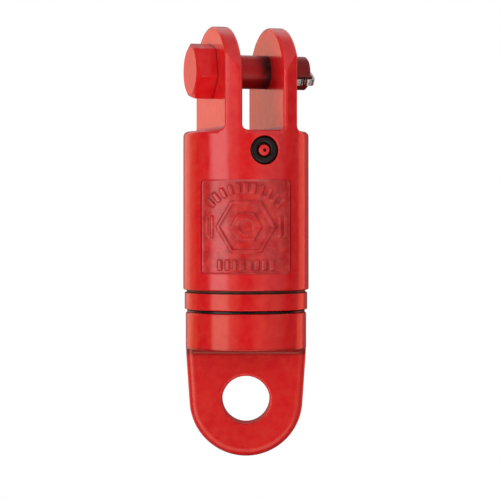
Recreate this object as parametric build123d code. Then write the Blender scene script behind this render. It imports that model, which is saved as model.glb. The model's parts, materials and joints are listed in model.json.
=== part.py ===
from build123d import *
import math
import os

# Jaw-and-eye bearing swivel, about 5 tonne, in millimetres.
# The origin is the jaw pin's centre, midway between the ears. +Z runs up the swivel axis, the eye hangs
# at -Z, and +X runs along the jaw pin towards its plain end. Everything that turns with the eye is built
# square to the axes and then turned by EYE_YAW.

# ---- driving dimensions: jaw ----
PIN_R = 9.525  # 3/4 in jaw pin
PIN_FIT = 0.08  # radial running clearance of the pin in the ears
SLOT_HALF = 12.0
EAR_OUT = 21.07  # outer face of each ear, from the slot's middle
EAR_ARC_R = 33.7  # full-round top of each ear, seen along the pin
EAR_ARC_Z = -8.5
EAR_ROOT_R = 3.0  # hollow fillets where the ears grow out of the barrel
EAR_EDGE_R = 1.5
EAR_SHORT_EDGE = 5.0  # shorter edges than this are left sharp
EAR_TAIL = 9.0  # each ear's plate runs this far down into the barrel
THROAT_Z = -34.0  # slot floor and the ledges outside the ears

# ---- driving dimensions: barrel ----
BARREL_TOP_R = 35.5
BARREL_FOOT_R = 35.6  # forging draft
BARREL_TOP_ROUND = 2.6
BARREL_FOOT_ROUND = 0.8
BARREL_FOOT_Z = -123.2
POCKET_R = 12.5  # pocket for the pilot bush
POCKET_TOP_Z = -56.0
CAVITY_R = 25.5
CAVITY_TOP_Z = -68.0
THREAD_R = 28.0  # cap thread, drawn as a plain cylinder
THREAD_TOP_Z = -104.0

# ---- driving dimensions: sunken panel on the barrel's face ----
PANEL_AZIMUTH = -17.5  # degrees from -Y, towards the head of the jaw pin
PANEL_HALF_WIDTH = 24.8
PANEL_TOP_Z = -61.4
PANEL_FOOT_Z = -113.9
PANEL_CORNER_R = 2.5
PANEL_DEPTH = 0.7

# ---- driving dimensions: barrel cap ----
CAP_NECK_R = 33.7
CAP_NECK_H = 1.4  # leaves the upper groove
RING_R = 34.8
RING_TOP_Z = BARREL_FOOT_Z - CAP_NECK_H
RING_FOOT_Z = -134.3
RING_ROUND = 0.6
BEARING_SEAT_Z = -112.0
CAP_BORE_R = 15.5
SEAL_POCKET_R = 18.0
SEAL_POCKET_Z = -131.4

# ---- driving dimensions: eye ----
EYE_YAW = -17.5  # degrees about +Z, the eye's stored position
COLLAR_R = 34.2
COLLAR_TOP_Z = -136.0  # leaves the lower, running groove
COLLAR_FOOT_Z = -156.9
COLLAR_TOP_ROUND = 0.8
COLLAR_FOOT_ROUND = 1.2
EYE_Z = -185.3
EYE_OUT_R = 32.0
EYE_TOP_HALF = 34.0  # half-width of the eye where it leaves the collar
EYE_HOLE_R = 13.4
EYE_HOLE_ROUND = 1.5
EYE_THICK = 19.05
EYE_EDGE_R = 4.5
EYE_ROOT_R = 2.5  # hollow fillet between the eye's faces and the collar
EYE_ROOT_REACH = 31.5
EYE_TAIL = 4.0  # the eye's plate runs this far up inside the collar
SHANK_R = 12.7
PILOT_R = 9.0
PILOT_TOP_Z = -57.6
THREAD_END_Z = -70.5

# ---- driving dimensions: shank stack, from the nut down ----
NUT_AF = 36.0
NUT_TOP_Z = -72.0
NUT_FOOT_Z = -86.0
NUT_CHAMFER = 1.6
WASHER_R = 20.0
WASHER_FOOT_Z = -89.0
LOCK_PIN_R = 2.0
LOCK_PIN_Z = -79.0
LOCK_PIN_HALF = 17.5

# ---- driving dimensions: angular contact bearing ----
BALL_R = 4.7625  # 3/8 in balls
BALL_COUNT = 10
BALL_PATH_R = 19.5
BALL_Z = -100.0
GROOVE_GAP = 0.12
POCKET_GAP = 0.2
CAGE_ANGLE = 45.0  # degrees between the cage's cone and the horizontal
CAGE_HALF_LENGTH = 6.2
CAGE_THICK = 1.4
INNER_RACE_R = 21.5
INNER_RACE_FOOT_R = 15.8
INNER_RACE_FOOT_Z = -101.5
INNER_RACE_LIP_Z = -96.0
OUTER_RACE_LIP_R = 24.0
OUTER_RACE_TOP_Z = -98.5
OUTER_RACE_FOOT_R = 17.5
OUTER_RACE_FOOT_Z = -104.0

# ---- driving dimensions: bushes, washers and seals ----
BUSH_FIT = 0.05  # radial running clearance of the shank in its bushes
ROOF_WASHER_R = 22.0
ROOF_WASHER_H = 2.0
ROOF_WASHER_BORE_R = 10.0
SHAFT_BUSH_FOOT_Z = -130.6
SEAL_BODY_R = 15.4
SEAL_LIP_R = 17.2
SEAL_LIP_GAP = 0.12
SEAL_LIP_THICK = 0.9
SEAL_LIP_LENGTH = 2.2
SEAL_SKIRT_R = 33.4  # the skirt fills the running groove between cap and collar
SEAL_SKIRT_H = 1.4
SEAL_SKIRT_ROUND = 0.3
O_RING_TOP_Z = -118.6
O_RING_H = 2.6
O_RING_DEPTH = 2.0
O_RING_ROUND = 0.7

# ---- driving dimensions: cap lock screws ----
SCREW_R = 3.0
SCREW_Z = -113.0
SCREW_TIP_R = 26.4
SCREW_TAIL_R = 34.0
SCREW_KEY_AF = 3.0
SCREW_KEY_DEPTH = 3.0
SCREW_AZIMUTHS = (55.0, 125.0)

# ---- driving dimensions: grease nipple ----
GREASE_Z = -45.3
RECESS_R = 8.0
RECESS_FLOOR_Y = -27.5
RECESS_RIM_R = 0.6
NIPPLE_THREAD_R = 4.9
NIPPLE_THREAD_END_Y = -19.5
NIPPLE_HEX_AF = 11.0
NIPPLE_HEX_TOP_Y = -29.4
NIPPLE_NECK_R = 2.6
NIPPLE_HEAD_R = 3.2
NIPPLE_TIP_Y = -34.5
NIPPLE_TIP_ROUND = 1.2
NIPPLE_BORE_R = 1.75
NIPPLE_MOUTH_R = 1.0
NIPPLE_SEAT_Y = -32.7
NIPPLE_BORE_END_Y = -22.5
NIPPLE_HEAD_H = 2.6
CHECK_BALL_R = 1.5875
CHECK_BALL_GAP = 0.05
SPRING_WIRE_R = 0.18
SPRING_R = 1.3
SPRING_TURNS = 6
SPRING_END_GAP = 0.02
FITTING_SEAL_R = 7.85
FITTING_SEAL_IN_R = 3.75
FITTING_SEAL_BACK_Y = -29.4
FITTING_SEAL_FACE_Y = -34.2
FITTING_SEAL_ROUND = 1.7
PASSAGE_R = 1.6

# ---- driving dimensions: jaw pin and cotter ----
HEAD_AF = 28.58
HEAD_OUT_X = -33.1
HEAD_IN_X = -21.25
HEAD_CHAMFER_ANGLE = 30.0
HEAD_TURN = 14.0  # the hexagon's front corner lies this many degrees below -Y
HEAD_FACE_R = 13.2
HEAD_EDGE_R = 0.7
PIN_END_X = 35.8
PIN_END_CHAMFER = 1.0
COTTER_X = 31.7
COTTER_TURN = 60.0  # degrees from straight down towards -Y, the way the legs leave
COTTER_HOLE_R = 2.2
COTTER_WIRE_R = 2.0
COTTER_LEG_GAP = 0.05
COTTER_STANDOFF = 0.3
COTTER_HEAD_CLEAR = 1.8
COTTER_BEND_R = 2.5
COTTER_LOOP_HALF = 2.7
COTTER_LOOP_LENGTH = 7.0
COTTER_END_LEG = 2.5
COTTER_SHORT_LEG = 5.8
COTTER_NECK = 2.2  # the loop spreads over this length
COTTER_NECK_R = 2.0
COTTER_SHOULDER_R = 1.4
COTTER_LOOP_R = 2.4

BIG = 500.0  # longer than the whole swivel, for cutters
CUT = 1.0  # how far a cutter or a tool body runs past the face that it opens
NEAR = 0.01  # two positions closer than this are the same


def span(a, b):
    """Length of the stretch from a to b."""
    return abs(b - a)


def disc(r, z0, z1):
    """Solid cylinder about Z from z0 to z1."""
    return Pos(0, 0, (z0 + z1) / 2) * Cylinder(r, span(z0, z1))


def tube(r_out, r_in, z0, z1):
    """Hollow cylinder about Z from z0 to z1."""
    return disc(r_out, z0, z1) - disc(r_in, z0, z1)


def rod_x(r, x0, x1):
    """Solid cylinder about X from x0 to x1."""
    return Pos((x0 + x1) / 2, 0, 0) * Rot(0, 90, 0) * Cylinder(r, span(x0, x1))


def rod_y(r, y0, y1, z=0.0):
    """Solid cylinder parallel to Y from y0 to y1 at height z."""
    return Pos(0, (y0 + y1) / 2, z) * Rot(90, 0, 0) * Cylinder(r, span(y0, y1))


def turned(points):
    """Solid of revolution about Z from (radius, z) corners."""
    return revolve(make_face(Plane.XZ * Polyline(*points, close=True)), Axis.Z)


def rounded_drum(r_top, r_foot, z_top, z_foot, top_round, foot_round):
    """Slightly tapered drum with rounded rims."""
    drum = turned([(0, z_top), (r_top, z_top), (r_foot, z_foot), (0, z_foot)])
    rims = drum.edges().filter_by(GeomType.CIRCLE).sort_by(Axis.Z)
    drum = fillet(rims[-1], top_round)
    rims = drum.edges().filter_by(GeomType.CIRCLE).sort_by(Axis.Z)
    return fillet(rims[0], foot_round)


def ear_section():
    """One ear seen along Y: a flat plate that spreads into the barrel with a hollow fillet on each side."""
    root = EAR_ROOT_R
    deep = THROAT_Z - EAR_TAIL
    flat_top = EAR_ARC_Z + EAR_ARC_R + CUT
    outline = [
        (SLOT_HALF, flat_top),
        (EAR_OUT, flat_top),
        (EAR_OUT, THROAT_Z),
        (EAR_OUT + root, THROAT_Z),
        (EAR_OUT + root, deep),
        (SLOT_HALF - root, deep),
        (SLOT_HALF - root, THROAT_Z),
        (SLOT_HALF, THROAT_Z),
    ]
    sketch = make_face(Polyline(*outline, close=True))
    at_root = [v for v in sketch.vertices() if abs(v.Y - THROAT_Z) < NEAR]
    return fillet([v for v in at_root if v.X in (SLOT_HALF, EAR_OUT)], root)


def ear(side):
    """One ear, flush with the barrel in front and behind, with its rim edges rounded."""
    slab = extrude(Plane.XZ * ear_section(), BIG / 2, both=True)
    profile = Pos(0, EAR_ARC_Z) * Circle(EAR_ARC_R)
    profile += Pos(0, EAR_ARC_Z - BIG / 2) * Rectangle(2 * EAR_ARC_R, BIG)
    slab &= extrude(Plane.YZ * profile, BIG / 2, both=True)
    slab &= disc(BARREL_TOP_R, -BIG, BIG)
    rim = [e for e in slab.edges() if e.center().Z > THROAT_Z + EAR_ROOT_R and e.length > EAR_SHORT_EDGE]
    slab = fillet(rim, EAR_EDGE_R)
    return slab if side > 0 else mirror(slab, Plane.YZ)


def barrel_bores():
    """Everything turned or drilled out of the jaw forging, except the side holes."""
    bore = disc(POCKET_R, POCKET_TOP_Z, CAVITY_TOP_Z - CUT)
    bore += disc(CAVITY_R, CAVITY_TOP_Z, THREAD_TOP_Z - CUT)
    bore += disc(THREAD_R, THREAD_TOP_Z, BARREL_FOOT_Z - CUT)
    return bore


def screw_place(azimuth):
    """Local frame on the barrel's axis whose +X runs out through one lock screw."""
    return Pos(0, 0, SCREW_Z) * Rot(0, 0, azimuth)


def barrel_radius(z):
    """Outer radius of the drafted barrel at height z."""
    share = (THROAT_Z - z) / (THROAT_Z - BARREL_FOOT_Z)
    return BARREL_TOP_R + share * (BARREL_FOOT_R - BARREL_TOP_R)


def panel_field():
    """Cutter for the panel: a rounded rectangle pressed in, down to a floor that follows the barrel."""
    height = span(PANEL_TOP_Z, PANEL_FOOT_Z)
    middle = (PANEL_TOP_Z + PANEL_FOOT_Z) / 2
    shape = Plane.XZ * Pos(0, middle) * RectangleRounded(2 * PANEL_HALF_WIDTH, height, PANEL_CORNER_R)
    block = extrude(shape, 2 * BARREL_FOOT_R)
    top, foot = PANEL_TOP_Z + CUT, PANEL_FOOT_Z - CUT
    floor = [
        (0, top),
        (barrel_radius(top) - PANEL_DEPTH, top),
        (barrel_radius(foot) - PANEL_DEPTH, foot),
        (0, foot),
    ]
    return Rot(0, 0, PANEL_AZIMUTH) * (block - turned(floor))


def is_recess_rim(at):
    """True at the mouth of the grease recess, which curves with the barrel."""
    return abs(at.Z - GREASE_Z) < RECESS_R / 2 and at.Y < RECESS_FLOOR_Y - CUT


def jaw_body():
    body = rounded_drum(
        BARREL_TOP_R, BARREL_FOOT_R, THROAT_Z, BARREL_FOOT_Z, BARREL_TOP_ROUND, BARREL_FOOT_ROUND
    )
    body -= rod_y(RECESS_R, RECESS_FLOOR_Y, -BIG / 2, GREASE_Z)
    body = fillet([e for e in body.edges() if is_recess_rim(e.center())], RECESS_RIM_R)
    body += ear(1)
    body += ear(-1)
    body -= panel_field()
    body -= barrel_bores()
    body -= rod_x(PIN_R + PIN_FIT, -BIG / 2, BIG / 2)
    body -= rod_y(NIPPLE_THREAD_R, NIPPLE_THREAD_END_Y, RECESS_FLOOR_Y - CUT, GREASE_Z)
    body -= rod_y(PASSAGE_R, 0, NIPPLE_THREAD_END_Y - CUT, GREASE_Z)
    body -= disc(PASSAGE_R, GREASE_Z, POCKET_TOP_Z - CUT)
    for azimuth in SCREW_AZIMUTHS:
        body -= screw_place(azimuth) * rod_x(SCREW_R, SCREW_TIP_R, BIG / 4)
    return body


def upper_bushing():
    return tube(POCKET_R, PILOT_R + BUSH_FIT, POCKET_TOP_Z, CAVITY_TOP_Z)


def roof_washer():
    foot = CAVITY_TOP_Z - ROOF_WASHER_H
    return tube(ROOF_WASHER_R, ROOF_WASHER_BORE_R, CAVITY_TOP_Z, foot)


def barrel_cap():
    ring = rounded_drum(RING_R, RING_R, RING_TOP_Z, RING_FOOT_Z, RING_ROUND, RING_ROUND)
    cap = ring + disc(CAP_NECK_R, BARREL_FOOT_Z, RING_TOP_Z) + disc(THREAD_R, THREAD_TOP_Z, BARREL_FOOT_Z)
    cap -= disc(CAVITY_R, THREAD_TOP_Z + CUT, BEARING_SEAT_Z)
    cap -= disc(CAP_BORE_R, BEARING_SEAT_Z + CUT, RING_FOOT_Z - CUT)
    cap -= disc(SEAL_POCKET_R, SEAL_POCKET_Z, RING_FOOT_Z - CUT)
    cap -= tube(THREAD_R + CUT, THREAD_R - O_RING_DEPTH, O_RING_TOP_Z, O_RING_TOP_Z - O_RING_H)
    for azimuth in SCREW_AZIMUTHS:
        cap -= screw_place(azimuth) * rod_x(SCREW_R, SCREW_TIP_R, THREAD_R + CUT)
    return cap


def cap_o_ring():
    """Squeezed flat between the cap's groove and the barrel's wall."""
    ring = tube(THREAD_R, THREAD_R - O_RING_DEPTH, O_RING_TOP_Z, O_RING_TOP_Z - O_RING_H)
    return fillet(ring.edges().filter_by(GeomType.CIRCLE), O_RING_ROUND)


def cap_lock_screws():
    screws = []
    for azimuth in SCREW_AZIMUTHS:
        screw = rod_x(SCREW_R, SCREW_TIP_R, SCREW_TAIL_R)
        key = extrude(RegularPolygon(SCREW_KEY_AF / 2, 6, major_radius=False), SCREW_KEY_DEPTH + CUT)
        screw -= Pos(SCREW_TAIL_R - SCREW_KEY_DEPTH, 0, 0) * Rot(0, 90, 0) * key
        screws.append(screw_place(azimuth) * screw)
    return Compound(children=screws)


def race_groove():
    """Ring-shaped cut that both raceways share."""
    centre = Plane.XZ * Pos(BALL_PATH_R, BALL_Z) * Circle(BALL_R + GROOVE_GAP)
    return revolve(centre, Axis.Z)


def inner_race():
    section = [
        (SHANK_R, WASHER_FOOT_Z),
        (INNER_RACE_R, WASHER_FOOT_Z),
        (INNER_RACE_R, INNER_RACE_LIP_Z),
        (INNER_RACE_FOOT_R, INNER_RACE_FOOT_Z),
        (SHANK_R, INNER_RACE_FOOT_Z),
    ]
    return turned(section) - race_groove()


def outer_race():
    section = [
        (CAVITY_R, BEARING_SEAT_Z),
        (CAVITY_R, OUTER_RACE_TOP_Z),
        (OUTER_RACE_LIP_R, OUTER_RACE_TOP_Z),
        (OUTER_RACE_FOOT_R, OUTER_RACE_FOOT_Z),
        (OUTER_RACE_FOOT_R, BEARING_SEAT_Z),
    ]
    return turned(section) - race_groove()


def ball_places():
    return [Rot(0, 0, i * 360 / BALL_COUNT) * Pos(BALL_PATH_R, 0, BALL_Z) for i in range(BALL_COUNT)]


def bearing_balls():
    return Compound(children=[place * Sphere(BALL_R) for place in ball_places()])


def ball_cage():
    """Conical ring between the races, with one round pocket per ball."""
    strip = Rectangle(2 * CAGE_HALF_LENGTH, CAGE_THICK)
    cage = revolve(Plane.XZ * Pos(BALL_PATH_R, BALL_Z) * Rot(0, 0, CAGE_ANGLE) * strip, Axis.Z)
    for place in ball_places():
        cage -= place * Sphere(BALL_R + POCKET_GAP)
    return cage


def race_washer():
    return tube(WASHER_R, SHANK_R, NUT_FOOT_Z, WASHER_FOOT_Z)


def lock_pin_hole():
    return rod_x(LOCK_PIN_R, -BIG / 2, BIG / 2).moved(Pos(0, 0, LOCK_PIN_Z))


def shank_nut():
    height = span(NUT_TOP_Z, NUT_FOOT_Z)
    nut = Pos(0, 0, NUT_FOOT_Z) * extrude(RegularPolygon(NUT_AF / 2, 6, major_radius=False), height)
    corner = NUT_AF / 2 / math.cos(math.radians(30))
    cone = [
        (0, NUT_TOP_Z),
        (corner - NUT_CHAMFER, NUT_TOP_Z),
        (corner, NUT_TOP_Z - NUT_CHAMFER),
        (corner, NUT_FOOT_Z),
        (0, NUT_FOOT_Z),
    ]
    nut &= turned(cone)
    return nut - disc(SHANK_R, NUT_TOP_Z + CUT, NUT_FOOT_Z - CUT) - lock_pin_hole()


def nut_lock_pin():
    return rod_x(LOCK_PIN_R, -LOCK_PIN_HALF, LOCK_PIN_HALF).moved(Pos(0, 0, LOCK_PIN_Z))


def eye_plate_outline():
    """Eye seen square on: sides that taper from the collar onto a round end."""
    top = COLLAR_FOOT_Z + EYE_TAIL
    rise = COLLAR_FOOT_Z - EYE_Z
    reach = math.hypot(EYE_TOP_HALF, rise)
    touch = math.atan2(rise, EYE_TOP_HALF) - math.acos(EYE_OUT_R / reach)
    tangent = (EYE_OUT_R * math.cos(touch), EYE_Z + EYE_OUT_R * math.sin(touch))
    outline = Polyline(
        (-tangent[0], tangent[1]),
        (-EYE_TOP_HALF, COLLAR_FOOT_Z),
        (-EYE_TOP_HALF, top),
        (EYE_TOP_HALF, top),
        (EYE_TOP_HALF, COLLAR_FOOT_Z),
        tangent,
    )
    bottom = ThreePointArc(tangent, (0, EYE_Z - EYE_OUT_R), (-tangent[0], tangent[1]))
    return make_face(outline + bottom)


def eye_plate():
    plate = extrude(Plane.XZ * eye_plate_outline(), EYE_THICK / 2, both=True)
    faces = [f for f in plate.faces() if abs(abs(f.center().Y) - EYE_THICK / 2) < NEAR]
    rim = [e for f in faces for e in f.edges() if e.center().Z < COLLAR_FOOT_Z + EYE_TAIL - CUT]
    plate = fillet(rim, EYE_EDGE_R)
    plate &= disc(EYE_TOP_HALF, -BIG, COLLAR_FOOT_Z + EYE_TAIL - CUT)
    plate -= rod_y(EYE_HOLE_R, -BIG / 2, BIG / 2, EYE_Z)
    mouths = [e for e in plate.edges().filter_by(GeomType.CIRCLE) if abs(e.radius - EYE_HOLE_R) < NEAR]
    return fillet(mouths, EYE_HOLE_ROUND)


def eye_root():
    """Hollow fillets between the eye's two faces and the collar's underside."""
    half = EYE_THICK / 2 + EYE_ROOT_R
    foot = COLLAR_FOOT_Z - EYE_ROOT_R
    section = Pos(0, foot + EYE_ROOT_R) * Rectangle(2 * half, 2 * EYE_ROOT_R)
    section -= Pos(half, foot) * Circle(EYE_ROOT_R)
    section -= Pos(-half, foot) * Circle(EYE_ROOT_R)
    bar = extrude(Plane.YZ * section, EYE_TOP_HALF, both=True)
    return bar & disc(EYE_ROOT_REACH, -BIG, BIG)


def eye_shank():
    body = rounded_drum(COLLAR_R, COLLAR_R, COLLAR_TOP_Z, COLLAR_FOOT_Z, COLLAR_TOP_ROUND, COLLAR_FOOT_ROUND)
    body += disc(SHANK_R, COLLAR_TOP_Z, THREAD_END_Z)
    body += disc(PILOT_R, THREAD_END_Z, PILOT_TOP_Z)
    body += eye_plate() + eye_root()
    return body - lock_pin_hole()


def shaft_bushing():
    return tube(CAP_BORE_R, SHANK_R + BUSH_FIT, BEARING_SEAT_Z, SHAFT_BUSH_FOOT_Z)


def shaft_seal():
    """V-ring: a lip that almost touches the cap, and a flat skirt that lies on the collar."""
    lip = SEAL_POCKET_Z - SEAL_LIP_GAP
    lip_foot = lip - SEAL_LIP_LENGTH + SEAL_LIP_THICK
    section = [
        (SHANK_R, COLLAR_TOP_Z),
        (SEAL_BODY_R, COLLAR_TOP_Z),
        (SEAL_BODY_R, lip - SEAL_LIP_LENGTH),
        (SEAL_LIP_R, lip),
        (SEAL_LIP_R - SEAL_LIP_THICK, lip),
        (SEAL_BODY_R - SEAL_LIP_THICK, lip_foot),
        (SHANK_R, lip_foot),
    ]
    skirt = tube(SEAL_SKIRT_R, SHANK_R, COLLAR_TOP_Z, COLLAR_TOP_Z + SEAL_SKIRT_H)
    rim = [e for e in skirt.edges().filter_by(GeomType.CIRCLE) if e.radius > SEAL_BODY_R]
    return fillet(rim, SEAL_SKIRT_ROUND) + turned(section)


def is_at_y(edge, y):
    """True for a round edge about Y at that y."""
    return edge.geom_type == GeomType.CIRCLE and abs(edge.center().Y - y) < NEAR


def grease_fitting_body():
    """Nipple with a hexagon, a ball-shaped head and a drilled valve bore."""
    body = rod_y(NIPPLE_THREAD_R, NIPPLE_THREAD_END_Y, RECESS_FLOOR_Y, GREASE_Z)
    hexagon = RegularPolygon(NIPPLE_HEX_AF / 2, 6, major_radius=False)
    hexagon = extrude(hexagon, span(RECESS_FLOOR_Y, NIPPLE_HEX_TOP_Y))
    body += Pos(0, RECESS_FLOOR_Y, GREASE_Z) * Rot(90, 0, 0) * hexagon
    body += rod_y(NIPPLE_NECK_R, NIPPLE_HEX_TOP_Y, NIPPLE_TIP_Y + NIPPLE_HEAD_H - CUT, GREASE_Z)
    body += rod_y(NIPPLE_HEAD_R, NIPPLE_TIP_Y + NIPPLE_HEAD_H, NIPPLE_TIP_Y, GREASE_Z)
    body = fillet([e for e in body.edges() if is_at_y(e, NIPPLE_TIP_Y)], NIPPLE_TIP_ROUND)
    body -= rod_y(NIPPLE_BORE_R, NIPPLE_BORE_END_Y, NIPPLE_SEAT_Y, GREASE_Z)
    body -= rod_y(NIPPLE_MOUTH_R, NIPPLE_SEAT_Y + CUT, NIPPLE_TIP_Y - CUT, GREASE_Z)
    return body - rod_y(NIPPLE_MOUTH_R, NIPPLE_THREAD_END_Y + CUT, NIPPLE_BORE_END_Y - CUT, GREASE_Z)


def check_ball_y():
    """The closed ball rests just behind the mouth's edge."""
    rest = math.sqrt(CHECK_BALL_R**2 - NIPPLE_MOUTH_R**2)
    return NIPPLE_SEAT_Y + rest + CHECK_BALL_GAP


def grease_check_ball():
    return Pos(0, check_ball_y(), GREASE_Z) * Sphere(CHECK_BALL_R)


def grease_check_spring():
    start = check_ball_y() + CHECK_BALL_R + SPRING_WIRE_R + SPRING_END_GAP
    length = span(start, NIPPLE_BORE_END_Y - SPRING_WIRE_R - SPRING_END_GAP)
    coil = Helix(length / SPRING_TURNS, length, SPRING_R)
    wire = sweep(Plane(coil @ 0, z_dir=coil % 0) * Circle(SPRING_WIRE_R), path=coil, is_frenet=True)
    return Pos(0, start, GREASE_Z) * Rot(-90, 0, 0) * wire


def grease_fitting_seal():
    """Black ring that fills the recess round the nipple."""
    ring = rod_y(FITTING_SEAL_R, FITTING_SEAL_BACK_Y, FITTING_SEAL_FACE_Y, GREASE_Z)
    ring -= rod_y(FITTING_SEAL_IN_R, FITTING_SEAL_BACK_Y + CUT, FITTING_SEAL_FACE_Y - CUT, GREASE_Z)
    return fillet([e for e in ring.edges() if is_at_y(e, FITTING_SEAL_FACE_Y)], FITTING_SEAL_ROUND)


def jaw_pin():
    height = span(HEAD_OUT_X, HEAD_IN_X)
    head = extrude(RegularPolygon(HEAD_AF / 2, 6, major_radius=False), height)
    head = fillet(head.edges().filter_by(Axis.Z), HEAD_EDGE_R)
    corner = HEAD_AF / 2 / math.cos(math.radians(30))
    drop = (corner - HEAD_FACE_R) * math.tan(math.radians(HEAD_CHAMFER_ANGLE))
    cone = [(0, height), (HEAD_FACE_R, height), (corner, height - drop), (corner, 0), (0, 0)]
    head &= turned(cone)
    # Rot(0, -90, 0) lays the head along -X, and the quarter turn before it puts a corner of it on -Y
    head = Pos(HEAD_IN_X, 0, 0) * Rot(HEAD_TURN, 0, 0) * Rot(0, -90, 0) * Rot(0, 0, 90) * head
    shank = rod_x(PIN_R, HEAD_IN_X, PIN_END_X)
    shank = chamfer(shank.edges().sort_by(Axis.X)[-1], PIN_END_CHAMFER)
    return head + shank - cotter_frame() * disc(COTTER_HOLE_R, -BIG / 4, BIG / 4)


def cotter_frame():
    """Local frame at the cotter hole: +Z runs out along the legs, +X along the jaw pin."""
    return Pos(COTTER_X, 0, 0) * Rot(-COTTER_TURN, 0, 0) * Rot(180, 0, 0)


def cotter_pin():
    """One half-round wire: a loop head, two legs through the pin, both bent over."""
    back = COTTER_WIRE_R + COTTER_STANDOFF
    head_v = -(PIN_R + COTTER_HEAD_CLEAR)
    turn_v = PIN_R + back
    end_u = PIN_END_X - COTTER_X + back
    loop_end = head_v - COTTER_LOOP_LENGTH
    points = [
        (end_u, COTTER_END_LEG),
        (end_u, turn_v),
        (COTTER_LEG_GAP, turn_v),
        (COTTER_LEG_GAP, head_v),
        (COTTER_LOOP_HALF, head_v - COTTER_NECK),
        (COTTER_LOOP_HALF, loop_end),
        (-COTTER_LOOP_HALF, loop_end),
        (-COTTER_LOOP_HALF, head_v - COTTER_NECK),
        (-COTTER_LEG_GAP, head_v),
        (-COTTER_LEG_GAP, turn_v),
        (-COTTER_SHORT_LEG, turn_v),
    ]
    loop = [COTTER_NECK_R, COTTER_SHOULDER_R, COTTER_LOOP_R]
    radii = [COTTER_BEND_R, COTTER_BEND_R, *loop, *reversed(loop), COTTER_BEND_R]
    path = Plane.XZ * FilletPolyline(*points, radius=radii)
    half = Circle(COTTER_WIRE_R) & (Pos(-COTTER_WIRE_R, 0) * Rectangle(2 * COTTER_WIRE_R, 4 * COTTER_WIRE_R))
    start = Plane(path @ 0, x_dir=(1, 0, 0), z_dir=path % 0)
    return cotter_frame() * sweep(start * half, path=path)


JAW_NODES = {
    "jaw_body": jaw_body,
    "grease_fitting_body": grease_fitting_body,
    "grease_fitting_seal": grease_fitting_seal,
    "grease_check_spring": grease_check_spring,
    "grease_check_ball": grease_check_ball,
    "upper_bushing": upper_bushing,
    "roof_washer": roof_washer,
    "barrel_cap": barrel_cap,
    "cap_o_ring": cap_o_ring,
    "cap_lock_screws": cap_lock_screws,
    "outer_race": outer_race,
    "shaft_bushing": shaft_bushing,
    "bearing_balls": bearing_balls,
    "ball_cage": ball_cage,
    "jaw_pin": jaw_pin,
    "cotter_pin": cotter_pin,
}
EYE_NODES = {
    "eye_shank": eye_shank,
    "shank_nut": shank_nut,
    "nut_lock_pin": nut_lock_pin,
    "race_washer": race_washer,
    "inner_race": inner_race,
    "shaft_seal": shaft_seal,
}

os.makedirs("parts", exist_ok=True)
for node, make in JAW_NODES.items():
    export_step(make(), f"parts/{node}.step")
for node, make in EYE_NODES.items():
    export_step(Rot(0, 0, EYE_YAW) * make(), f"parts/{node}.step")
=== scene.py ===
import json
import math

import bpy
import numpy as np
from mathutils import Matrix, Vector


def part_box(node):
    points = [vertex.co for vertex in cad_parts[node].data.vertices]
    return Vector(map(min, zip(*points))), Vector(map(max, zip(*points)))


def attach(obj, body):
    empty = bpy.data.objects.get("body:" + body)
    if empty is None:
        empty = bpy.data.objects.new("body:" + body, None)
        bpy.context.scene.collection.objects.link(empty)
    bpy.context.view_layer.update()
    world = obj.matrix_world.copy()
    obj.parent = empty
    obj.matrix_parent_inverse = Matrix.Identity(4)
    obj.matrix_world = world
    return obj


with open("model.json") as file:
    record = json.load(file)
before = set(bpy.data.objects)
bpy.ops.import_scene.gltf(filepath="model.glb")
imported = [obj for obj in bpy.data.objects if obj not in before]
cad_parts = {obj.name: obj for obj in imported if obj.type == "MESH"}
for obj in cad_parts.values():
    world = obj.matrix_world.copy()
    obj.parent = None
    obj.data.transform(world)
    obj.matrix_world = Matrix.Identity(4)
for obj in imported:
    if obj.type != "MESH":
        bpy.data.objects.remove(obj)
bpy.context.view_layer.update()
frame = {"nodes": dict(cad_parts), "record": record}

MM = 0.001

# ---- camera and floor, in metres; azimuths in degrees, and 0 looks along +Y ----
VIEW_AZIMUTH = -17.5
CAMERA_DISTANCE = 1.1645
EYE_LEVEL = -0.085
AIM_RIGHT = 0.0023  # how far right of the swivel axis the camera aims
AIM_DROP = 0.0159  # and how far below its own height
SENSOR = 36.0  # mm
LENS = 147.6  # mm
FLOOR_Z = -0.36
FLOOR_RADIUS = 0.9
FLOOR_SOLID_RADIUS = 0.3
FLOOR_CORNERS = 96
FLOOR_GLOW = 0.5  # the paper is lit from below
PAPER = ((0.6, 0.6, 0.6), (0.64, 0.64, 0.64))

# ---- light; heights are sines of the angle over the horizon ----
ROOM_STRENGTH = 0.1
ROOM_FLOOR_STRENGTH = 0.06
ROOM_FADE = (-0.6, -0.1)
WALL_FADE = 0.2
# Light walls: azimuth from the camera, half width and soft edge in degrees; foot, top; strength.
WALLS = (
    (-51, 9, 13, -0.3, 0.3, 3.4),  # softbox to the front left
    (-26, 5, 12, -0.3, 0.3, 0.75),  # its spill towards the camera
    (-142, 9, 16, -0.7, 0.8, 0.55),  # bright wall behind, to the left
    (128, 12, 25, -0.7, 0.8, 0.1),  # weaker wall behind, to the right
    (45, 10, 30, -0.7, 0.8, 0.6),  # fill from the front right
    (-10, 35, 30, -0.75, -0.4, 1.9),  # low fill in front, under the camera
    (-20, 25, 30, 0.6, 0.8, 0.6),  # high fill in front, over the camera
    (150, 60, 30, 0.5, 0.8, 0.9),  # high light behind
)
CEILING = (0.45, 0.95, 0.35)  # where it starts, where it is full, strength

# Warm bounce cards: name, azimuth from the camera, distance, size, radiance, colour.
CARD_AIM = Vector((0, 0, -0.09))
CARDS = (
    ("card_right", 124, 1.2, (0.5, 1.2), 2.3, (1, 0.16, 0.09)),
    ("card_left", -126, 1.2, (1.0, 1.2), 1.15, (1, 0.24, 0.06)),
    ("card_front", 25, 1.2, (0.5, 1.2), 0.75, (1, 0.20, 0.10)),
)

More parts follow.
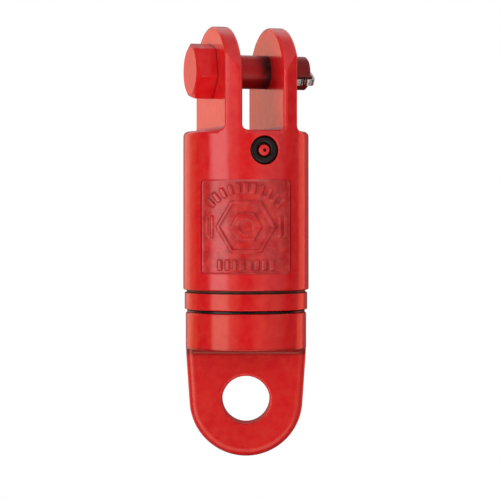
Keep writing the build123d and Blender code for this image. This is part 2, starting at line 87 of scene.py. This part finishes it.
# ---- the barrel's sunken panel and its relief, in mm and degrees ----
BARREL_TOP = -34.0
BARREL_DRAFT = 0.1  # how much smaller the barrel's radius is at its top
PANEL_TOP = -61.4
PANEL_FOOT = -113.9
PANEL_HALF_WIDTH = 24.8
PANEL_CORNER = 2.5
PANEL_DEPTH = 0.7
PANEL_STEP = 0.33  # spacing of the relief's mesh
PANEL_LIFT = 0.02  # the relief's floor over the panel's floor
PANEL_OVERLAP = 0.5  # how far the relief reaches into the metal round the panel
PANEL_BACK = 3.0  # how far the shell's back lies behind the panel's floor
PANEL_RIM = 1.7  # width of the slope along the panel's edge
PANEL_RIM_RISE = 0.5
# The ornament, measured from the panel's middle.
ORNAMENT_HEIGHT = 1.0
ORNAMENT_FLANK = 0.45
EMBLEM_HALF_FLATS = 13.4
EMBLEM_BAND = 0.9
NUT_HALF_FLATS = 7.6
NUT_HOLE_R = 3.8
SIDE_BARS = (18.6, 21.6)
SIDE_BAR_SIZE = (0.8, 6.0)
ARCH_RADIUS = 27.0
ARCH_MIDDLE = -5.4
ARCH_TICKS = 11
ARCH_PITCH = 9.2
ROW_TICKS = 8
ROW_PITCH = 4.1
ROW_HEIGHT = -21.2
TICK_SIZE = (1.15, 2.9)
TICK_CORNER = 0.6

# ---- colours, linear ----
WHITE = (1, 1, 1)
ENAMEL_LIGHT = (0.74, 0.005, 0.014)
ENAMEL_DEEP = (0.68, 0.004, 0.011)
# Lighter, pinker red on outer edges: thin paint with a painted highlight.
ENAMEL_THIN_AND_HIGHLIGHT = (0.80, 0.045, 0.030)
# Near-black red, painted into corners as shade.
ENAMEL_CORNER_SHADE = (0.10, 0.004, 0.004)
# Dark red: the film of soiling in the panel, and the painted shadow under the eye's collar.
ENAMEL_FILM_AND_SHADOW = (0.22, 0.004, 0.006)
# Lighter and pinker still on the panel relief's edges: thin paint with a stronger painted highlight.
PANEL_THIN_AND_HIGHLIGHT = (0.90, 0.14, 0.11)
PIN_SHADE = (0.42, 0.005, 0.008)
WARM_GLOSS = (1.0, 0.84, 0.62)
# Near-black: grease beside the right ear, and painted shade on the pin's underside, beside the ear and over
# its end.
GREASE_AND_SHADE = (0.02, 0.006, 0.005)
# Near-black painted shade for the groove above the cap's ring.
GROOVE_SHADE = (0.012, 0.004, 0.003)
RUBBER_BLACK = (0.006, 0.006, 0.007)
RUBBER_DUST = (0.02, 0.019, 0.018)
# Metals: bright colour, dull colour, roughness.
BRONZE = ((0.72, 0.47, 0.22), (0.52, 0.32, 0.15), 0.3)
BEARING_STEEL = ((0.72, 0.72, 0.73), (0.56, 0.56, 0.58), 0.16)
DARK_STEEL = ((0.16, 0.155, 0.15), (0.07, 0.068, 0.066), 0.34)
ZINC_PLATE = ((0.55, 0.55, 0.54), (0.20, 0.20, 0.20), 0.16)

# ---- gloss ----
ENAMEL_ROUGHNESS = 0.15
ENAMEL_IOR = 1.5
ENAMEL_SPECULAR = 0.5
PIN_SPECULAR = 0.25
PANEL_SPECULAR = 0.42
RUBBER_SPECULAR = 0.25
PAPER_SPECULAR = 0.1
PAPER_ROUGHNESS = 0.9

# ---- patterns in the enamel: size in mm and detail; depths in mm ----
CLOUDS = (34, 4)
# Patch size of the lighter edges: thin paint and painted highlight.
EDGE_WEAR_AND_HIGHLIGHT = (5, 4)
CORNER_SHADE_SPECKS = (3, 4)
GLOSS_PATCHES = (9, 3)
WAVES = (13, 2)
WAVES_DEPTH = 0.10
ORANGE_PEEL = (1.7, 2)
ORANGE_PEEL_DEPTH = 0.012
FILM_PATCHES = (6, 4)

# Painted shade in corners: how far in mm it looks for a corner, and the openness at which it is darkest and
# gone.
CORNER_SHADE_REACH = (2.5, 0.2, 0.75)
PANEL_SHADE_REACH = (2.4, 0.45, 0.96)
CORNER_SAMPLES = 8
EDGE_SAMPLES = 6
EDGE_REACH = 1.2
EDGE_OPENNESS = (0.35, 0.8)

# ---- slabs of the shared frame where marks of soiling and painted shade lie: axis, low, high, soft end in mm ----
EYE_SHOULDER_Z = -156.9  # the underside of the eye's collar
GROOVE = ("Z", -125.0, -122.6, 0.15)
SHANK = ("X", -21.0, 60.0, 0.3)
SHANK_BY_EAR = ("X", 10.0, 14.0, 8.0)
SHANK_LOWER_SIDE = ("Z", -12.0, -6.5, 4.5)
SHANK_END = ("X", 20.0, 60.0, 1.0)
EYE_FLATS = ("Z", -230.0, EYE_SHOULDER_Z, 0.3)
# Where the painted shadow under the collar lies.
EYE_COLLAR_SHADOW = ("Z", EYE_SHOULDER_Z - 1.6, EYE_SHOULDER_Z - 0.2, 2.6)

# ---- shading of the meshes ----
CREASE_ANGLE = 32.0
FLAT_FACE_WEIGHT = 80


# ------------------------------------------------------------------ studio

def link(ob):
    bpy.context.scene.collection.objects.link(ob)
    return ob


def heading(azimuth):
    """Horizontal unit vector from the object towards a camera at that azimuth."""
    a = math.radians(azimuth)
    return Vector((math.sin(a), -math.cos(a), 0))


def look_at(ob, target):
    ob.rotation_euler = (target - ob.location).to_track_quat("-Z", "Y").to_euler()


def add_camera():
    data = bpy.data.cameras.new("camera")
    data.sensor_width = SENSOR
    data.lens = LENS
    cam = link(bpy.data.objects.new("camera", data))
    towards = heading(VIEW_AZIMUTH)
    right = Vector((-towards.y, towards.x, 0))
    cam.location = towards * CAMERA_DISTANCE + Vector((0, 0, EYE_LEVEL))
    look_at(cam, right * AIM_RIGHT + Vector((0, 0, EYE_LEVEL - AIM_DROP)))
    bpy.context.scene.camera = cam


class Sky:
    """World nodes for a studio made of soft vertical light walls; angles are from the camera's heading."""

    def __init__(self, nt):
        self.nt = nt
        direction = nt.nodes.new("ShaderNodeTexCoord").outputs["Generated"]
        split = nt.nodes.new("ShaderNodeSeparateXYZ")
        nt.links.new(direction, split.inputs[0])
        self.height = split.outputs["Z"]
        level = nt.nodes.new("ShaderNodeVectorMath")
        level.operation = "MULTIPLY"
        level.inputs[1].default_value = (1, 1, 0)
        nt.links.new(direction, level.inputs[0])
        flat = nt.nodes.new("ShaderNodeVectorMath")
        flat.operation = "NORMALIZE"
        nt.links.new(level.outputs[0], flat.inputs[0])
        self.flat = flat.outputs[0]

    def ramp(self, value, low, high, to_low, to_high):
        fade = self.nt.nodes.new("ShaderNodeMapRange")
        fade.interpolation_type = "SMOOTHSTEP"
        fade.inputs["From Min"].default_value = low
        fade.inputs["From Max"].default_value = high
        fade.inputs["To Min"].default_value = to_low
        fade.inputs["To Max"].default_value = to_high
        self.nt.links.new(value, fade.inputs["Value"])
        return fade.outputs["Result"]

    def join(self, operation, a, b):
        node = self.nt.nodes.new("ShaderNodeMath")
        node.operation = operation
        self.nt.links.new(a, node.inputs[0])
        self.nt.links.new(b, node.inputs[1])
        return node.outputs[0]

    def wall(self, azimuth, half, soft, foot, top, strength):
        """Light wall: full strength within half degrees of azimuth, gone soft degrees further out."""
        dot = self.nt.nodes.new("ShaderNodeVectorMath")
        dot.operation = "DOT_PRODUCT"
        dot.inputs[1].default_value = heading(VIEW_AZIMUTH + azimuth)
        self.nt.links.new(self.flat, dot.inputs[0])
        outer, inner = math.cos(math.radians(half + soft)), math.cos(math.radians(half))
        across = self.ramp(dot.outputs["Value"], outer, inner, 0, strength)
        above = self.ramp(self.height, foot - WALL_FADE, foot, 0, 1)
        below = self.ramp(self.height, top, top + WALL_FADE, 1, 0)
        return self.join("MULTIPLY", across, self.join("MULTIPLY", above, below))

    def ceiling(self, start, full, strength):
        """Light overhead, from sine start to sine full of the height angle."""
        return self.ramp(self.height, start, full, 0, strength)


def add_card(name, azimuth, distance, size, radiance, colour):
    """Upright rectangle of soft coloured light, seen in reflections but not by the camera."""
    data = bpy.data.lights.new(name, "AREA")
    data.shape = "RECTANGLE"
    data.size, data.size_y = size
    data.energy = radiance * math.pi * size[0] * size[1]
    data.color = colour
    ob = link(bpy.data.objects.new(name, data))
    ob.location = CARD_AIM + heading(VIEW_AZIMUTH + azimuth) * distance
    look_at(ob, CARD_AIM)
    ob.visible_camera = False


def add_world():
    """White to the camera. To everything else it is a dim room with soft bright walls."""
    world = bpy.data.worlds.new("studio")
    world.use_nodes = True
    nt = world.node_tree
    nt.nodes.clear()
    sky = Sky(nt)
    total = sky.ramp(sky.height, *ROOM_FADE, ROOM_FLOOR_STRENGTH, ROOM_STRENGTH)
    for wall in WALLS:
        total = sky.join("ADD", total, sky.wall(*wall))
    total = sky.join("ADD", total, sky.ceiling(*CEILING))
    lit = nt.nodes.new("ShaderNodeBackground")
    nt.links.new(total, lit.inputs["Strength"])
    seen = nt.nodes.new("ShaderNodeBackground")
    seen.inputs["Color"].default_value = (*WHITE, 1)
    path = nt.nodes.new("ShaderNodeLightPath")
    mix = nt.nodes.new("ShaderNodeMixShader")
    out = nt.nodes.new("ShaderNodeOutputWorld")
    nt.links.new(path.outputs["Is Camera Ray"], mix.inputs[0])
    nt.links.new(lit.outputs[0], mix.inputs[1])
    nt.links.new(seen.outputs[0], mix.inputs[2])
    nt.links.new(mix.outputs[0], out.inputs["Surface"])
    bpy.context.scene.world = world


# ------------------------------------------------------------------ material helpers

class Surface:
    """A node material being built, with short ways to add nodes to it."""

    def __init__(self, name):
        self.material = bpy.data.materials.new(name)
        self.material.use_nodes = True
        self.nt = self.material.node_tree
        self.bsdf = self.nt.nodes["Principled BSDF"]
        self.place = self.nt.nodes.new("ShaderNodeTexCoord").outputs["Object"]

    def link(self, source, socket):
        self.nt.links.new(source, socket)

    def noise(self, size_mm, detail=3.0, roughness=0.5, place=None):
        """Noise whose features are about size_mm across."""
        n = self.nt.nodes.new("ShaderNodeTexNoise")
        n.inputs["Scale"].default_value = 1000.0 / size_mm
        n.inputs["Detail"].default_value = detail
        n.inputs["Roughness"].default_value = roughness
        self.link(place or self.place, n.inputs["Vector"])
        return n.outputs["Fac"]

    def span(self, value, low, high, to_low=0.0, to_high=1.0, smooth=False):
        """value from low..high mapped to to_low..to_high and clamped."""
        m = self.nt.nodes.new("ShaderNodeMapRange")
        if smooth:
            m.interpolation_type = "SMOOTHSTEP"
        m.inputs["From Min"].default_value = low
        m.inputs["From Max"].default_value = high
        m.inputs["To Min"].default_value = to_low
        m.inputs["To Max"].default_value = to_high
        self.link(value, m.inputs["Value"])
        return m.outputs["Result"]

    def math(self, operation, a, b):
        m = self.nt.nodes.new("ShaderNodeMath")
        m.operation = operation
        for value, socket in ((a, m.inputs[0]), (b, m.inputs[1])):
            if isinstance(value, (int, float)):
                socket.default_value = value
            else:
                self.link(value, socket)
        return m.outputs[0]

    def mix(self, share, first, second):
        """Colour mix; first and second are RGB tuples or sockets."""
        m = self.nt.nodes.new("ShaderNodeMix")
        m.data_type = "RGBA"
        self.link(share, m.inputs["Factor"])
        for colour, socket in ((first, m.inputs[6]), (second, m.inputs[7])):
            if isinstance(colour, tuple):
                socket.default_value = (*colour, 1)
            else:
                self.link(colour, socket)
        return m.outputs[2]

    def bump(self, height, depth_mm, strength=1.0, under=None):
        b = self.nt.nodes.new("ShaderNodeBump")
        b.inputs["Strength"].default_value = strength
        b.inputs["Distance"].default_value = depth_mm * MM
        self.link(height, b.inputs["Height"])
        if under is not None:
            self.link(under, b.inputs["Normal"])
        return b.outputs["Normal"]

    def axis_rings(self, stretch_mm):
        """Coordinates that stay the same all the way round Z, for lathe marks."""
        split = self.nt.nodes.new("ShaderNodeSeparateXYZ")
        self.link(self.place, split.inputs[0])
        x2 = self.math("MULTIPLY", split.outputs["X"], split.outputs["X"])
        y2 = self.math("MULTIPLY", split.outputs["Y"], split.outputs["Y"])
        radius = self.math("SQRT", self.math("ADD", x2, y2), 0)
        join = self.nt.nodes.new("ShaderNodeCombineXYZ")
        self.link(radius, join.inputs["X"])
        self.link(split.outputs["Z"], join.inputs["Y"])
        angle = self.math("ARCTAN2", split.outputs["Y"], split.outputs["X"])
        self.link(self.math("MULTIPLY", angle, stretch_mm * MM), join.inputs["Z"])
        return join.outputs[0]


# ------------------------------------------------------------------ materials

def painted_corner_shade(s, reach_mm, full_at, open_at):
    """Share of painted shade: 1 in tight corners, 0 on open faces."""
    ao = s.nt.nodes.new("ShaderNodeAmbientOcclusion")
    ao.samples = CORNER_SAMPLES
    ao.inputs["Distance"].default_value = reach_mm * MM
    return s.span(ao.outputs["AO"], full_at, open_at, 1.0, 0.0, smooth=True)


def sharp_edges(s):
    """1 along outer edges, 0 on open faces."""
    ao = s.nt.nodes.new("ShaderNodeAmbientOcclusion")
    ao.samples = EDGE_SAMPLES
    ao.inside = True
    ao.only_local = True
    ao.inputs["Distance"].default_value = EDGE_REACH * MM
    return s.span(ao.outputs["AO"], *EDGE_OPENNESS, smooth=True)


def slab(s, axis, low_mm, high_mm, soft_mm):
    """1 between two places along one axis of the shared frame, with soft ends."""
    split = s.nt.nodes.new("ShaderNodeSeparateXYZ")
    s.link(s.place, split.inputs[0])
    value = split.outputs[axis]
    above = s.span(value, (low_mm - soft_mm) * MM, low_mm * MM, smooth=True)
    below = s.span(value, high_mm * MM, (high_mm + soft_mm) * MM, 1.0, 0.0, smooth=True)
    return s.math("MULTIPLY", above, below)


def enamel(name, stains_and_shade=(), shade_reach=CORNER_SHADE_REACH, edge_wear_and_highlight=ENAMEL_THIN_AND_HIGHLIGHT, tint=WHITE, specular=ENAMEL_SPECULAR):
    """Sprayed enamel on a forging: cloudy colour, thin paint and painted highlight on edges, painted shade
    in corners, orange peel.

    Each mark is a function that makes its share, a colour or None, and the roughness it adds; some marks
    are soiling, some painted shade. The reach of the painted corner shade is given as for the module's
    corner shade constants, and tint colours the gloss."""
    s = Surface(name)
    cloud = s.span(s.noise(*CLOUDS), 0.35, 0.65)
    colour = s.mix(cloud, ENAMEL_DEEP, ENAMEL_LIGHT)
    # Outer edges lighter in patches: thin paint and painted highlight.
    wear_and_highlight = s.span(s.noise(*EDGE_WEAR_AND_HIGHLIGHT), 0.35, 0.7, 0.1, 0.55)
    colour = s.mix(s.math("MULTIPLY", sharp_edges(s), wear_and_highlight), colour, edge_wear_and_highlight)
    # Painted shade: corners that ambient occlusion finds are darkened in specks, and made rougher.
    specks = s.span(s.noise(*CORNER_SHADE_SPECKS), 0.3, 0.7, 0.6, 1.0)
    corner_shade = s.math("MULTIPLY", painted_corner_shade(s, *shade_reach), specks)
    colour = s.mix(corner_shade, colour, ENAMEL_CORNER_SHADE)
    rough = s.span(s.noise(*GLOSS_PATCHES), 0.3, 0.7, ENAMEL_ROUGHNESS - 0.03, ENAMEL_ROUGHNESS + 0.05)
    rough = s.math("ADD", rough, s.math("MULTIPLY", corner_shade, 0.25))
    for share, overlay_colour, dull in stains_and_shade:
        amount = share(s)
        if overlay_colour is not None:
            colour = s.mix(amount, colour, overlay_colour)
        rough = s.math("ADD", rough, s.math("MULTIPLY", amount, dull))
    s.link(colour, s.bsdf.inputs["Base Color"])
    s.link(rough, s.bsdf.inputs["Roughness"])
    s.bsdf.inputs["IOR"].default_value = ENAMEL_IOR
    s.bsdf.inputs["Specular IOR Level"].default_value = specular
    s.bsdf.inputs["Specular Tint"].default_value = (*tint, 1)
    waves = s.bump(s.noise(*WAVES), WAVES_DEPTH, 0.8)
    peel = s.bump(s.noise(*ORANGE_PEEL), ORANGE_PEEL_DEPTH, 0.8, under=waves)
    s.link(peel, s.bsdf.inputs["Normal"])
    return s.material


def groove_shade(s):
    """Painted shade, near black and mottled, in the groove above the cap's ring."""
    return s.math("MULTIPLY", slab(s, *GROOVE), s.span(s.noise(4, 3), 0.3, 0.6, 0.8, 1.0))


def pin_shank(s):
    """The pin's shank, from under its head to the plain end, painted darker as shade."""
    return s.math("MULTIPLY", slab(s, *SHANK), s.span(s.noise(6, 4), 0.3, 0.7, 0.8, 1.0))


def shaded_pin_underside(s):
    """Painted shade along the shank's underside, in the near-black grease colour."""
    return s.math("MULTIPLY", s.math("MULTIPLY", slab(s, *SHANK_LOWER_SIDE), pin_shank(s)), 0.6)


def pin_grease_and_shade(s):
    """Grease with painted shade along the shank beside the right ear, and painted shade over the plain end.
    """
    at_end = s.math("MULTIPLY", slab(s, *SHANK_END), 0.62)
    smear = s.span(s.noise(7, 4, 0.6), 0.3, 0.6, 0.45, 1.0)
    return s.math("MULTIPLY", s.math("MAXIMUM", slab(s, *SHANK_BY_EAR), at_end), smear)


def forged_flats(s):
    """The eye below its collar, where the forging under the paint is rough."""
    return slab(s, *EYE_FLATS)


def shadow_under_collar(s):
    """Painted shadow: dark red in the corner under the collar."""
    return s.math("MULTIPLY", slab(s, *EYE_COLLAR_SHADOW), 0.8)


def panel_film(s):
    """Uneven film of old dirt that wiping leaves in the sunken panel."""
    return s.span(s.noise(*FILM_PATCHES), 0.3, 0.7, 0.08, 0.5)


# Marks of soiling, rougher paint and painted shade: share, colour or None, added roughness.
CAP_SHADE = ((groove_shade, GROOVE_SHADE, 0.3),)
EYE_ROUGHNESS_AND_SHADOW = ((forged_flats, None, 0.1), (shadow_under_collar, ENAMEL_FILM_AND_SHADOW, 0.0))
PANEL_STAINS = ((panel_film, ENAMEL_FILM_AND_SHADOW, 0.05),)
PIN_SHADE_AND_GREASE = ((pin_shank, PIN_SHADE, 0.15), (shaded_pin_underside, GREASE_AND_SHADE, 0.1), (pin_grease_and_shade, GREASE_AND_SHADE, 0.1))


def rubber(name):
    """Dusty black moulded rubber."""
    s = Surface(name)
    s.bsdf.inputs["Specular IOR Level"].default_value = RUBBER_SPECULAR
    dust = s.span(s.noise(2.2, 5, 0.65), 0.5, 0.75)
    s.link(s.mix(dust, RUBBER_BLACK, RUBBER_DUST), s.bsdf.inputs["Base Color"])
    s.link(s.span(s.noise(3, 3), 0.3, 0.7, 0.2, 0.34), s.bsdf.inputs["Roughness"])
    s.link(s.bump(s.noise(1.2, 3), 0.02, 0.6), s.bsdf.inputs["Normal"])
    return s.material


def turned_metal(name, bright, dull, rough):
    """Machined metal with fine rings round the swivel axis."""
    s = Surface(name)
    s.bsdf.inputs["Metallic"].default_value = 1.0
    rings = s.axis_rings(0.6)
    fine = s.noise(0.35, 4, 0.7, rings)
    s.link(s.mix(s.span(s.noise(7, 3), 0.35, 0.65), dull, bright), s.bsdf.inputs["Base Color"])
    s.link(s.span(fine, 0.3, 0.7, rough - 0.06, rough + 0.08), s.bsdf.inputs["Roughness"])
    s.link(s.bump(fine, 0.006, 0.7), s.bsdf.inputs["Normal"])
    return s.material


def plated_wire(name, bright, dull, rough):
    """Zinc-plated or blackened steel: blotchy film with tiny pits."""
    s = Surface(name)
    s.bsdf.inputs["Metallic"].default_value = 1.0
    blot = s.span(s.noise(1.6, 4, 0.6), 0.35, 0.7)
    s.link(s.mix(blot, bright, dull), s.bsdf.inputs["Base Color"])
    s.link(s.span(blot, 0.0, 1.0, rough - 0.05, rough + 0.14), s.bsdf.inputs["Roughness"])
    s.link(s.bump(s.noise(0.5, 4, 0.65), 0.012, 0.7), s.bsdf.inputs["Normal"])
    return s.material


def floor_paper(name):
    """Pale matt paper that thins out to nothing at the rim and is clear from below."""
    s = Surface(name)
    s.link(s.mix(s.noise(60, 3), *PAPER), s.bsdf.inputs["Base Color"])
    s.bsdf.inputs["Roughness"].default_value = PAPER_ROUGHNESS
    s.bsdf.inputs["Specular IOR Level"].default_value = PAPER_SPECULAR
    s.bsdf.inputs["Emission Color"].default_value = (*WHITE, 1)
    s.bsdf.inputs["Emission Strength"].default_value = FLOOR_GLOW
    length = s.nt.nodes.new("ShaderNodeVectorMath")
    length.operation = "LENGTH"
    s.link(s.place, length.inputs[0])
    fade = s.span(length.outputs["Value"], FLOOR_SOLID_RADIUS, FLOOR_RADIUS, 1.0, 0.0, smooth=True)
    under = s.nt.nodes.new("ShaderNodeNewGeometry").outputs["Backfacing"]
    s.link(s.math("MULTIPLY", fade, s.math("SUBTRACT", 1.0, under)), s.bsdf.inputs["Alpha"])
    return s.material


# ------------------------------------------------------------------ shapes

def crisp_smooth():
    """Node group that shades smooth, but keeps edges crisp where faces meet at more than CREASE_ANGLE."""
    group = bpy.data.node_groups.new("crisp_smooth", "GeometryNodeTree")
    for direction in ("INPUT", "OUTPUT"):
        group.interface.new_socket("Geometry", in_out=direction, socket_type="NodeSocketGeometry")
    n = group.nodes
    start, end = n.new("NodeGroupInput"), n.new("NodeGroupOutput")
    angle = n.new("GeometryNodeInputMeshEdgeAngle")
    compare = n.new("ShaderNodeMath")
    compare.operation = "GREATER_THAN"
    compare.inputs[1].default_value = math.radians(CREASE_ANGLE)
    faces = n.new("GeometryNodeSetShadeSmooth")
    edges = n.new("GeometryNodeSetShadeSmooth")
    edges.domain = "EDGE"
    edges.inputs["Shade Smooth"].default_value = False
    group.links.new(start.outputs[0], faces.inputs["Geometry"])
    group.links.new(angle.outputs["Unsigned Angle"], compare.inputs[0])
    group.links.new(faces.outputs["Geometry"], edges.inputs["Geometry"])
    group.links.new(compare.outputs[0], edges.inputs["Selection"])
    group.links.new(edges.outputs["Geometry"], end.inputs[0])
    return group


def smooth_by_angle(ob, group):
    """Modifier pair: smooth shading with crisp edges, and flats kept flat."""
    shade = ob.modifiers.new("crisp smooth", "NODES")
    shade.node_group = group
    normals = ob.modifiers.new("weighted normals", "WEIGHTED_NORMAL")
    normals.keep_sharp = True
    normals.weight = FLAT_FACE_WEIGHT


def step(edge, value, soft):
    """1 where value is well under edge, 0 well over, with a soft flank between."""
    t = np.clip((edge - value) / soft + 0.5, 0, 1)
    return t * t * (3 - 2 * t)


def rounded_box(u, v, half_u, half_v, corner):
    """Signed distance to a rounded rectangle."""
    du = np.abs(u) - half_u + corner
    dv = np.abs(v) - half_v + corner
    outside = np.hypot(np.maximum(du, 0), np.maximum(dv, 0))
    return outside + np.minimum(np.maximum(du, dv), 0) - corner


def hexagon(u, v, half_flats):
    """Signed distance, near enough, to a hexagon with flats above and below."""
    slant = math.radians(30)
    slanted = np.abs(u) * math.cos(slant) + np.abs(v) * math.sin(slant)
    return np.maximum(slanted, np.abs(v)) - half_flats


def centred(count, pitch):
    """Places of count things, pitch apart, with the middle of the row at 0."""
    return [(k - (count - 1) / 2) * pitch for k in range(count)]


def ornament(u, v):
    """Signed distance to the raised ornament: a ringed nut between bars, under an arch and over a row."""
    shapes = [np.abs(hexagon(u, v, EMBLEM_HALF_FLATS)) - EMBLEM_BAND]
    shapes.append(np.maximum(hexagon(u, v, NUT_HALF_FLATS), NUT_HOLE_R - np.hypot(u, v)))
    for place in SIDE_BARS:
        shapes.append(rounded_box(np.abs(u) - place, v, *SIDE_BAR_SIZE, TICK_CORNER))
    for degrees in centred(ARCH_TICKS, ARCH_PITCH):
        turn = math.radians(degrees)
        rise = v - ARCH_MIDDLE
        across = u * math.cos(turn) - rise * math.sin(turn)
        along = u * math.sin(turn) + rise * math.cos(turn) - ARCH_RADIUS
        shapes.append(rounded_box(across, along, *TICK_SIZE, TICK_CORNER))
    for place in centred(ROW_TICKS, ROW_PITCH):
        shapes.append(rounded_box(u - place, v - ROW_HEIGHT, *TICK_SIZE, TICK_CORNER))
    return np.minimum.reduce(shapes)


def relief_height(u, v):
    """Height in mm over the panel's floor; u and v are in mm from the panel's middle."""
    edge = rounded_box(u, v, PANEL_HALF_WIDTH, (PANEL_TOP - PANEL_FOOT) / 2, PANEL_CORNER)
    raised = ORNAMENT_HEIGHT * step(0.0, ornament(u, v), ORNAMENT_FLANK)
    rim = PANEL_RIM_RISE * np.clip(1 + edge / PANEL_RIM, 0, 1) ** 2
    return np.maximum(raised, rim)


def relief_radii():
    """The relief's front and back radii in mm on a grid of angles round the barrel and heights."""
    low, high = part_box("jaw_body")
    foot_radius = (high.x - low.x) / 2 / MM
    foot_z = low.z / MM
    top_radius = foot_radius - BARREL_DRAFT
    rows = int((PANEL_TOP - PANEL_FOOT + 2 * PANEL_OVERLAP) / PANEL_STEP)
    heights = np.linspace(PANEL_TOP + PANEL_OVERLAP, PANEL_FOOT - PANEL_OVERLAP, rows)
    reach = math.asin((PANEL_HALF_WIDTH + PANEL_OVERLAP) / (foot_radius - PANEL_DEPTH))
    columns = int(2 * reach * foot_radius / PANEL_STEP)
    angle, z = np.meshgrid(np.linspace(-reach, reach, columns), heights)
    share = (BARREL_TOP - z) / (BARREL_TOP - foot_z)
    floor = top_radius + share * (foot_radius - top_radius) - PANEL_DEPTH
    front = floor + PANEL_LIFT + relief_height(floor * np.sin(angle), z - (PANEL_TOP + PANEL_FOOT) / 2)
    return angle, z, front, floor - PANEL_BACK


def shell_faces(rows, columns):
    """Faces of a closed shell: a grid of points, the same grid behind it, and a wall round both."""
    faces = []
    behind = rows * columns
    for i in range(rows - 1):
        for j in range(columns - 1):
            a = i * columns + j
            quad = (a, a + columns, a + columns + 1, a + 1)
            faces.append(quad)
            faces.append(tuple(behind + k for k in reversed(quad)))
    ring = list(range(columns))
    ring += [i * columns + columns - 1 for i in range(1, rows)]
    ring += [(rows - 1) * columns + j for j in range(columns - 2, -1, -1)]
    ring += [i * columns for i in range(rows - 2, 0, -1)]
    for a, b in zip(ring, ring[1:] + ring[:1]):
        faces.append((a, b, behind + b, behind + a))
    return faces


def relief_panel():
    """Closed shell laid on the floor of the barrel's sunken panel, with its ornament raised in the mesh."""
    angle, z, front, back = relief_radii()
    turn = math.radians(VIEW_AZIMUTH - 90) + angle
    grids = [np.stack([r * np.cos(turn), r * np.sin(turn), z], -1).reshape(-1, 3) for r in (front, back)]
    mesh = bpy.data.meshes.new("relief_panel")
    mesh.from_pydata((np.concatenate(grids) * MM).tolist(), [], shell_faces(*angle.shape))
    mesh.validate()
    mesh.shade_smooth()
    return link(bpy.data.objects.new("relief_panel", mesh))


def add_floor():
    """Round sheet of paper that throws no light back onto the object."""
    turns = [2 * math.pi * i / FLOOR_CORNERS for i in range(FLOOR_CORNERS)]
    rim = [(math.cos(turn) * FLOOR_RADIUS, math.sin(turn) * FLOOR_RADIUS, 0) for turn in turns]
    mesh = bpy.data.meshes.new("floor")
    mesh.from_pydata(rim, [], [tuple(range(FLOOR_CORNERS))])
    floor = link(bpy.data.objects.new("floor", mesh))
    floor.location = (0, 0, FLOOR_Z)
    floor.data.materials.append(floor_paper("floor_paper"))
    floor.visible_diffuse = False
    floor.visible_glossy = False


# ------------------------------------------------------------------ the scene

add_camera()
add_world()
for card in CARDS:
    add_card(*card)
add_floor()

by_slot = {
    "red_enamel": enamel("red_enamel"),
    "pin_enamel": enamel("pin_enamel", PIN_SHADE_AND_GREASE, specular=PIN_SPECULAR),
    "black_rubber": rubber("black_rubber"),
    "bronze": turned_metal("bronze", *BRONZE),
    "bearing_steel": turned_metal("bearing_steel", *BEARING_STEEL),
    "dark_steel": plated_wire("dark_steel", *DARK_STEEL),
    "zinc_wire": plated_wire("zinc_wire", *ZINC_PLATE),
}
by_node = {
    "barrel_cap": enamel("cap_enamel", CAP_SHADE, tint=WARM_GLOSS),
    "eye_shank": enamel("eye_enamel", EYE_ROUGHNESS_AND_SHADOW, tint=WARM_GLOSS),
}
shading = crisp_smooth()
for part in frame["record"]["subparts"]:
    ob = frame["nodes"][part["node"]]
    ob.data.materials.clear()
    ob.data.materials.append(by_node.get(part["node"], by_slot[part["material_slot"]]))
    smooth_by_angle(ob, shading)

panel = relief_panel()
panel.data.materials.append(
    enamel("panel_enamel", PANEL_STAINS, PANEL_SHADE_REACH, PANEL_THIN_AND_HIGHLIGHT, specular=PANEL_SPECULAR)
)
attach(panel, "jaw")

bpy.context.scene.view_settings.view_transform = "Standard"
